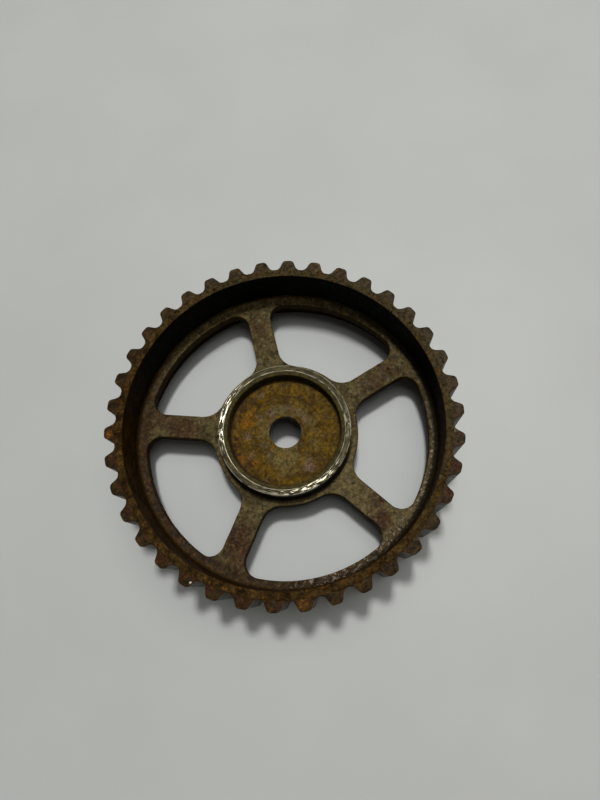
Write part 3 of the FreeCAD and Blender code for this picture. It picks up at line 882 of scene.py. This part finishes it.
def flank_rust(tree):
    """Where the teeth's sides are rusty: near both ends, in the grooves and in specks."""
    from_front = tree.math("SUBTRACT", TEETH_HIGH.z, tree.z)
    from_rear = tree.math("SUBTRACT", tree.z, TEETH_LOW.z)
    from_ends = tree.math("MINIMUM", from_front, from_rear)
    ragged_ends = tree.math("MULTIPLY_ADD", tree.noise(2.4, 5, 0.65, 16), -9.0, from_ends)
    ragged_reach = tree.math("MULTIPLY_ADD", tree.noise(2.8, 5, 0.65, 17), 2.4, tree.radius)
    in_grooves = tree.remap(ragged_reach, 55.9, 55.1)
    rusted = tree.math("MAXIMUM", tree.remap(ragged_ends, -1.0, -4.5), in_grooves)
    return tree.math("MAXIMUM", rusted, speckle(tree, 2.2, 0.14, 11))


def tooth_flank_colour(tree, rusted):
    """Grey steel that the belt has worn clean, and brown rust."""
    clean = mottled(tree, tree.noise(2.5, 5, 0.6, 10), (60, 61, 56), (90, 91, 85))
    streaks = tree.remap(tree.noise(1.4, 4, 0.6, 15, stretch=(1, 1, 0.12)), 0.42, 0.6)
    clean = paint(tree, clean, (streaks, (60, 56, 50), 0.6))
    rust = mottled(tree, tree.noise(1.6, 5, 0.65, 18), (44, 28, 14), (84, 54, 24))
    return tree.mix(rusted, clean, rust)


def tooth_steel():
    """Rusty faces, and sides that are worn grey."""
    tree = MaterialTree("tooth_steel")
    side = tree.remap(tree.math("ABSOLUTE", tree.facing_up), 0.75, 0.35)
    rusted = flank_rust(tree)
    clean = tree.times(side, tree.math("SUBTRACT", 1.0, rusted))
    edge = worn_edges(tree, 0.53, 0.60, 1.8, 12)
    colour = tree.mix(side, tooth_face_colour(tree), tooth_flank_colour(tree, rusted))
    colour = paint(tree, colour, (edge, (104, 92, 68), 0.55))
    roughness = tree.math("MULTIPLY_ADD", clean, -0.2, patchy_roughness(tree, 1.5, 13, 0.55, 0.85))
    metallic = tree.math("MAXIMUM", tree.times(edge, 0.4), tree.times(clean, 0.3))
    return tree.finish(colour, roughness, metallic, surface_bump(tree, 14), specular=0.1)


def rim_wall_colour(tree):
    """The inside: brown on its lit side, and painted shade opposite: black on the side away from the light.
    """
    lit = mottled(tree, tree.noise(4.0, 5, 0.6, 25), (32, 18, 2), (50, 32, 6))
    lit = paint(tree, lit, (speckle(tree, 2.2, 0.3, 26), (22, 12, 3), 0.7))
    black = tree.mix(tree.noise(3.0, 4, 0.6, 27), (1, 1, 0), (9, 8, 4))
    # Painted shade: the upper part of the wall turns black on the side away from the light.
    painted_shade_side = tree.times(tree.towards(55, -0.3, 0.5), tree.remap(tree.z, 9.0, 13.0))
    return tree.mix(painted_shade_side, lit, black)


def rim_steel():
    """A front edge like the tooth faces, with its corner rubbed bright."""
    tree = MaterialTree("rim_steel")
    front = mottled(tree, tree.noise(3.0, 5, 0.6, 21), (38, 26, 9), (68, 51, 24), 0.36, 0.64)
    front = paint(
        tree, front,
        (tree.towards(20, -0.3, 1.0), (66, 59, 38), 0.7),
        (speckle(tree, 1.5, 0.22, 22), (94, 58, 12), 0.65),
        (speckle(tree, 1.0, 0.2, 23), (24, 15, 10), 0.85),
    )
    front = grime_and_grain(tree, front, 0.5, 24)
    wall = tree.remap(tree.facing_up, 0.75, 0.35)
    edge = tree.times(worn_edges(tree, 0.52, 0.58, 2.2, 28), tree.remap(tree.z, 20, 28))
    colour = tree.mix(wall, front, rim_wall_colour(tree))
    colour = paint(tree, colour, (edge, (110, 98, 72), 0.5))
    roughness = patchy_roughness(tree, 1.5, 29, 0.55, 0.85)
    metallic = tree.times(edge, 0.4)
    return tree.finish(colour, roughness, metallic, surface_bump(tree, 30), specular=0.02)


# The web's larger rust patches: millimetres from the axis, angle, radius, strength.
RUST_PATCHES_ON_WEB = (
    (36, 147, 6.0, 0.85), (43, 140, 5.5, 0.75), (38, 216, 6.5, 0.95), (44, 220, 6.0, 0.7),
    (42, 285, 4.4, 1.0), (38, 292, 3.0, 0.9), (41, 1, 5.0, 0.65), (34, 358, 4.0, 0.5),
    (40, 73, 3.6, 0.7), (47, 205, 4.5, 0.8), (47, 252, 4.0, 0.8),
)


def paint_web_lip(tree, colour):
    """Along the windows' outer edge: brown on one side, and pale bare flecks on another."""
    brown_lip = tree.times(tree.remap(tree.radius, 45.5, 48.0), tree.towards(200, -0.3, 0.7))
    orange_lip = tree.times(tree.remap(tree.radius, 46.5, 48.0), tree.towards(215, -0.4, 0.6))
    bare_lip = tree.times(tree.remap(tree.radius, 46.2, 47.8), tree.towards(290, 0.45, 1.0))
    return paint(
        tree, colour,
        (brown_lip, (44, 29, 11), 0.85),
        (tree.times(orange_lip, speckle(tree, 1.3, 0.3, 44)), (96, 62, 16), 0.5),
        (tree.times(bare_lip, speckle(tree, 1.1, 0.35, 45)), (156, 140, 124), 0.85),
    )


def paint_web_corners(tree, colour, side):
    """Painted shade in the corner at the rim on one side, a painted shadow of the collar at its foot on the
    side away from the light, and brown walls.
    """
    # Painted shade: darker in the corner where the web meets the rim, on one side.
    rim_corner_shade = tree.times(tree.remap(tree.radius, 48.9, 49.9), tree.towards(325, 0.1, 0.8))
    # Painted shadow: the collar's shadow on the web, on the side away from the light.
    collar_foot_shadow = tree.times(tree.remap(tree.radius, 23.3, 22.6), tree.towards(235, -0.3, 0.5))
    return paint(
        tree, colour,
        (rim_corner_shade, (14, 10, 5), 0.9),
        (collar_foot_shadow, (16, 12, 5), 0.9),
        (side, (40, 29, 9), 0.85),
    )


def web_steel():
    """Olive grey with dark specks, and red-brown patches near the spokes' outer ends."""
    tree = MaterialTree("web_steel")
    colour = mottled(tree, tree.noise(2.4, 6, 0.7, 41), (59, 49, 24), (99, 87, 51))
    colour = paint(
        tree, colour,
        (speckle(tree, 3.0, 0.3, 42), (76, 58, 24), 0.6),
        (tree.towards(290, 0.75, 1.0), (112, 98, 62), 0.4),
    )
    for reach, angle, size, strength in RUST_PATCHES_ON_WEB:
        colour = paint(tree, colour, (blot(tree, reach, angle, size, angle / 10), (60, 36, 16), strength))
    red_specks = tree.times(tree.remap(tree.radius, 26.0, 40.0), speckle(tree, 1.3, 0.25, 52))
    colour = paint_web_lip(tree, paint(tree, colour, (red_specks, (66, 34, 14), 0.7)))
    colour = paint(
        tree, colour,
        (speckle(tree, 1.5, 0.2, 46), (32, 23, 12), 0.8),
        (dots(tree, 1.9, 0.45, 0.45, 51), (22, 15, 8), 0.85),
        (speckle(tree, 0.8, 0.1, 47), (104, 68, 20), 0.6),
    )
    side = tree.remap(tree.facing_up, 0.9, 0.35)
    colour = paint_web_corners(tree, grime_and_grain(tree, colour, 0.45, 48), side)
    roughness = patchy_roughness(tree, 2.0, 49, 0.5, 0.8)
    specular = tree.remap(side, 0.0, 1.0, 0.12, 0.02)
    return tree.finish(colour, roughness, 0.0, surface_bump(tree, 50), specular)


# Spots on the recess floor: millimetres from the axis, angle, radius.
ORANGE_SPOTS_ON_HUB = ((13.8, 120, 1.7), (13.5, 136, 2.6), (17.0, 181, 1.7), (14.5, 196, 1.5))
BARE_SPOTS_ON_HUB = (
    (8.3, 94, 2.0), (10.2, 118, 1.2), (8.5, 54, 1.5), (8.2, 32, 1.5), (7.9, 2, 1.5), (12.9, 155, 1.5),
    (13.7, 184, 1.5), (13.1, 321, 1.0), (15.8, 92, 1.5),
)


def recess_floor_colour(tree):
    """Ochre rust, browner by the wall on one side, with bare patches round the hole."""
    ochre = mottled(tree, tree.noise(3.0, 6, 0.65, 61), (70, 50, 4), (104, 78, 8))
    bare = tree.mix(tree.noise(1.6, 5, 0.6, 62), (76, 68, 36), (120, 110, 72))
    near_hole = tree.remap(tree.radius, 13.0, 7.0)
    brown_side = tree.times(tree.towards(150, 0.0, 0.9), tree.remap(tree.radius, 13.5, 17.0))
    colour = paint(
        tree, ochre,
        (tree.times(near_hole, speckle(tree, 3.2, 0.75, 63, 0.2)), bare, 0.85),
        (speckle(tree, 2.2, 0.25, 64), bare, 0.3),
        (speckle(tree, 1.1, 0.3, 65), (54, 34, 6), 0.6),
        (tree.times(brown_side, speckle(tree, 2.4, 0.6, 75)), (58, 32, 12), 0.7),
    )
    for spots, tint in ((ORANGE_SPOTS_ON_HUB, (134, 84, 2)), (BARE_SPOTS_ON_HUB, (106, 88, 70))):
        for reach, angle, size in spots:
            colour = paint(tree, colour, (blot(tree, reach, angle, size, angle), tint, 0.65))
    return colour


def paint_recess_marks(tree, colour):
    """Larger bare patches, specks and pits, and the dark ring round the washer's seat."""
    mark_inside = tree.remap(tree.radius, WASHER_MARK_RADIUS - 0.4, WASHER_MARK_RADIUS)
    mark_outside = tree.remap(tree.radius, WASHER_MARK_RADIUS + 0.4, WASHER_MARK_RADIUS)
    mark = tree.times(tree.times(mark_inside, mark_outside), tree.towards(65, 0.0, 0.8))
    return paint(
        tree, colour,
        (blot(tree, 13.8, 273, 2.5, 12), (112, 90, 72), 0.85),
        (blot(tree, 9.0, 238, 5.5, 9), (114, 102, 62), 0.6),
        (speckle(tree, 0.9, 0.16, 66), (34, 20, 5), 0.75),
        (dots(tree, 1.4, 0.3, 0.3, 73), (20, 12, 5), 0.8),
        (dots(tree, 2.6, 0.4, 0.25, 74), (150, 140, 110), 0.6),
        (mark, (46, 30, 12), 0.7),
    )


def hub_steel():
    """Ochre rust in the recess, olive on the crest and plain grey brown underneath, with painted shade in
    the recess's corner and on its wall away from the light.
    """
    tree = MaterialTree("hub_steel")
    crest = tree.mix(tree.noise(2.4, 4, 0.6, 67), (52, 45, 18), (80, 72, 38))
    # Painted shade: the corner round the recess floor is darkened all round.
    corner = tree.times(tree.remap(tree.radius, 17.4, 18.5), tree.remap(tree.z, 15.5, 14.5))
    wall = tree.times(tree.remap(tree.facing_up, 0.7, 0.3), tree.remap(tree.z, 18.6, 17.6))
    front = paint(
        tree, paint_recess_marks(tree, recess_floor_colour(tree)),
        (tree.remap(tree.z, 14.8, 16.0), crest, 1.0),
        (corner, (34, 24, 12), 0.7),
        # Painted shade: the recess wall is darkened on the side away from the light.
        (tree.times(wall, tree.towards(50, -0.3, 0.6)), (18, 14, 7), 0.8),
    )
    front = grime_and_grain(tree, front, 0.4, 68)
    under = tree.mix(tree.noise(3.0, 5, 0.6, 69), (60, 54, 42), (92, 84, 66))
    under = paint(tree, under, (speckle(tree, 2.4, 0.3, 70), (74, 44, 20), 0.7))
    colour = tree.mix(tree.remap(tree.z, 13.9, 13.4), front, under)
    roughness = patchy_roughness(tree, 1.5, 71, 0.5, 0.8)
    return tree.finish(colour, roughness, 0.0, surface_bump(tree, 72, 0.16, 0.12), specular=0.1)


def collar_shine(tree):
    """Where the front is bare and bright, and partly a painted highlight: along its rubbed edges, and in
    chips on the stretches where the light glints.
    """
    from_middle = tree.math("ABSOLUTE", tree.math("SUBTRACT", tree.radius, COLLAR_MIDDLE))
    at_edge = tree.remap(tree.math("DIVIDE", from_middle, COLLAR_HALF_WIDTH), 0.68, 0.84)
    # Rubbed edges, which also carry a painted highlight where the light glints on their rounded corners.
    worn = tree.times(at_edge, tree.remap(tree.turned_noise(3.2, 0.4, 81), 0.38, 0.52))
    stretches = tree.math("MAXIMUM", tree.towards(135, 0.75, 1.0), tree.towards(262, 0.55, 1.25))
    stretches = tree.math("MAXIMUM", stretches, tree.towards(333, 0.93, 1.1))
    # Chips on the stretches where the light glints: bare steel and a painted highlight.
    chipped_highlit = tree.times(stretches, tree.remap(tree.turned_noise(2.4, 0.4, 82), 0.52, 0.60))
    bright = tree.math("MAXIMUM", tree.times(worn, 0.85), chipped_highlit)
    return tree.times(bright, tree.remap(tree.z, 18.2, 18.9))


def collar_steel():
    """Polished at the edges and tarnished olive between them; the near-white edges and chips are partly a
    painted highlight.
    """
    tree = MaterialTree("collar_steel")
    tarnish = mottled(tree, tree.turned_noise(2.0, 0.8, 83), (46, 40, 16), (88, 80, 46))
    wall = tree.remap(tree.facing_up, 0.7, 0.3)
    tarnish = paint(
        tree, tarnish,
        (speckle(tree, 0.8, 0.15, 84), (48, 38, 20), 0.7),
        (wall, (34, 28, 18), 0.8),
    )
    bright = collar_shine(tree)
    # Near-white: bare steel, and partly a painted highlight.
    colour = tree.mix(bright, tarnish, (240, 232, 204))
    roughness = tree.remap(bright, 0.0, 1.0, 0.55, 0.34)
    metallic = tree.remap(bright, 0.0, 1.0, 0.0, 0.7)
    return tree.finish(colour, roughness, metallic, surface_bump(tree, 85, 0.05, 0.04), specular=0.12)


def dowel_steel():
    """A ground pin with light brown staining."""
    tree = MaterialTree("dowel_steel")
    stain = speckle(tree, 1.6, 0.35, 91, 0.15)
    colour = tree.mix(stain, (120, 116, 106), (84, 62, 38))
    roughness = tree.remap(stain, 0.0, 1.0, 0.3, 0.65)
    metallic = tree.remap(stain, 0.0, 1.0, 0.9, 0.2)
    return tree.finish(colour, roughness, metallic, surface_bump(tree, 92, 0.02, 0.02))


FLOOR_RADIUS, FLOOR_SIDES, FLOOR_GAP = 4000.0, 128, 0.02


def build_floor():
    """A plain pale floor under the pulley."""
    outline = circle(FLOOR_RADIUS, FLOOR_SIDES)
    height = BAND_LOW.z - FLOOR_GAP
    mesh = bpy.data.meshes.new("floor")
    mesh.from_pydata([(x * MM, y * MM, height * MM) for x, y in outline], [], [range(FLOOR_SIDES)])
    tree = MaterialTree("pale_floor")
    colour = mottled(tree, tree.noise(60, 3, 0.55, 0), (192, 194, 190), (196, 198, 194), 0.3, 0.7)
    mesh.materials.append(tree.finish(colour, 0.55, 0.0))
    add_object("floor", mesh)


# ---- camera and light

VIEW_UP_ANGLE = 58.4
CAMERA_AZIMUTH, CAMERA_ELEVATION, CAMERA_DISTANCE = -100.4, 73.7, 186.15
CAMERA_PAN, CAMERA_TILT, CAMERA_ROLL = -2.45, -1.24, -21.2
FOCAL_LENGTH, SENSOR_WIDTH = 26.65, 36.0
CLIP_START, CLIP_END = 0.01, 10

LIGHT_DISTANCE = 1400
# The surroundings fade from horizon to zenith between these heights of a unit direction.
FADE_START, FADE_END = 0.20, 0.42
HORIZON_LIGHT, ZENITH_LIGHT = 0.9, 0.05
DIM_SIDE, BRIGHT_SIDE = 0.45, 1.6
BRIGHT_SIDE_ANGLE = VIEW_UP_ANGLE - 110
SURROUNDINGS_COLOUR = (1.0, 0.98, 0.94, 1)


def direction(azimuth, elevation):
    """The unit vector that points this way from the pulley."""
    turn, lift = math.radians(azimuth), math.radians(elevation)
    return Vector((math.cos(turn) * math.cos(lift), math.sin(turn) * math.cos(lift), math.sin(lift)))


def build_camera():
    """A phone camera looking steeply down, aimed a little off the middle."""
    camera = add_object("camera", bpy.data.cameras.new("camera"))
    camera.data.lens = FOCAL_LENGTH
    camera.data.sensor_width = SENSOR_WIDTH
    camera.data.clip_start, camera.data.clip_end = CLIP_START, CLIP_END
    outward = direction(CAMERA_AZIMUTH, CAMERA_ELEVATION)
    front_centre = Vector((0, 0, TEETH_HIGH.z))
    aim = (-outward).to_track_quat("-Z", "Y").to_matrix().to_4x4()
    aim @= Matrix.Rotation(math.radians(CAMERA_PAN), 4, "Y")
    aim @= Matrix.Rotation(math.radians(-CAMERA_TILT), 4, "X")
    aim @= Matrix.Rotation(math.radians(CAMERA_ROLL), 4, "Z")
    camera.matrix_world = Matrix.Translation((front_centre + outward * CAMERA_DISTANCE) * MM) @ aim
    bpy.context.scene.camera = camera


def area_light(name, azimuth, elevation, size, power):
    """A square soft light aimed at the pulley, `size` millimetres across."""
    light = add_object(name, bpy.data.lights.new(name, "AREA"))
    light.data.size = size * MM
    light.data.energy = power
    outward = direction(azimuth, elevation)
    light.matrix_world = (Matrix.Translation(outward * LIGHT_DISTANCE * MM)
                          @ (-outward).to_track_quat("-Z", "Y").to_matrix().to_4x4())


def build_light():
    """A small lamp and a wide soft light, both towards the picture's top."""
    area_light("lamp", VIEW_UP_ANGLE - 4, 75.2, size=140, power=9.4)
    area_light("soft", VIEW_UP_ANGLE - 35, 75, size=1000, power=5.4)
    build_surroundings()
    bpy.context.scene.view_settings.view_transform = "Standard"


def build_surroundings():
    """A dim studio, brighter low down and at the picture's right."""
    world = bpy.data.worlds.new("world")
    world.use_nodes = True
    tree = NodeTree(world.node_tree)
    ray = tree.add("ShaderNodeTexCoord").outputs["Generated"]
    low_down = tree.remap(tree.split(ray)[2], FADE_START, FADE_END, HORIZON_LIGHT, ZENITH_LIGHT)
    across = tree.vector_math("DOT_PRODUCT", ray, direction(BRIGHT_SIDE_ANGLE, 0))
    sideways = tree.remap(across, -1.0, 1.0, DIM_SIDE, BRIGHT_SIDE)
    background = world.node_tree.nodes["Background"]
    background.inputs[0].default_value = SURROUNDINGS_COLOUR
    tree.put(background.inputs[1], tree.times(low_down, sideways))
    bpy.context.scene.world = world


# ---- put it together


def place(piece, material, node, slot):
    """Give a piece its material and let it stand for a CAD node."""
    piece.data.materials.clear()
    piece.data.materials.append(material)
    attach(piece, BODY)
    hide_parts(node)


def main():
    place(build_tooth_ring(), tooth_steel(), "tooth_ring", "tooth_steel")
    place(build_rim_band(), rim_steel(), "rim_band", "rim_steel")
    place(build_spoke_web(), web_steel(), "spoke_web", "web_steel")
    place(build_hub(), hub_steel(), "hub", "hub_steel")
    place(build_hub_collar(), collar_steel(), "hub_collar", "collar_steel")
    place(build_dowel(), dowel_steel(), "locating_dowel", "dowel_steel")
    build_floor()
    build_camera()
    build_light()


main()
